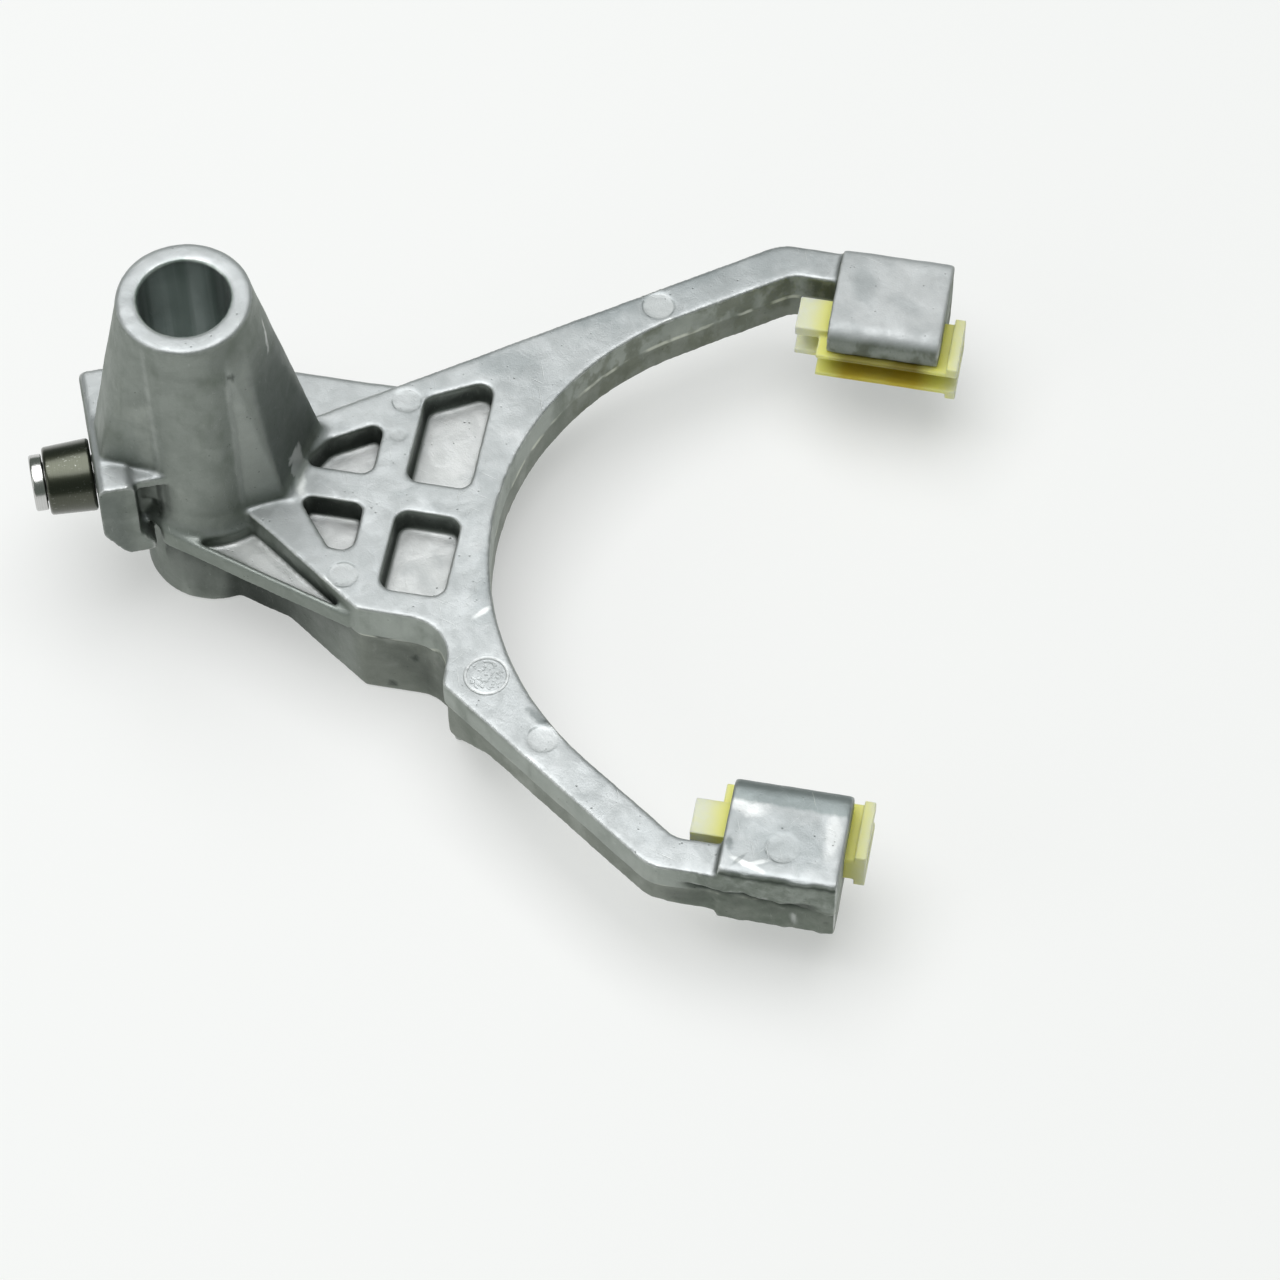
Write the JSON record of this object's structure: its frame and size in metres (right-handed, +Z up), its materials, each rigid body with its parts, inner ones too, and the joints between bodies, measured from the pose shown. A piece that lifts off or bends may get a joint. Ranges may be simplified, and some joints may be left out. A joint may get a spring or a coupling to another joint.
{
  "type": "transmission shift fork",
  "caption": "Die-cast shift fork with a rail hub, ribbed web, curved arms, slotted prongs lined with slide pads, and a roller follower on a headed pin.",
  "frame": {"origin": "centre of the rail bore at the hub's lower face", "axes": "+Z up the rail bore, +X from the rail bore to the prongs, +Y toward the prong away from the notch"},
  "size_m": [0.161, 0.1356, 0.077],
  "materials": {
    "cast_aluminium": "die-cast, satin",
    "pad_nylon": "translucent moulded nylon",
    "pin_steel": "ground and polished",
    "roller_steel": "hardened, turned"
  },
  "bodies": {
    "fork": {"fork_casting": "cast_aluminium", "left_slide_pad": "pad_nylon", "right_slide_pad": "pad_nylon", "follower_pin": "pin_steel"},
    "roller": {"follower_roller": "roller_steel"}
  },
  "joints": [
    {"name": "roller_spin", "type": "hinge", "parent": "fork", "child": "roller", "pos_m": [-0.0228, -0.00898, 0.029], "axis": [-0.9304, -0.3665, 0], "continuous": true}
  ]
}
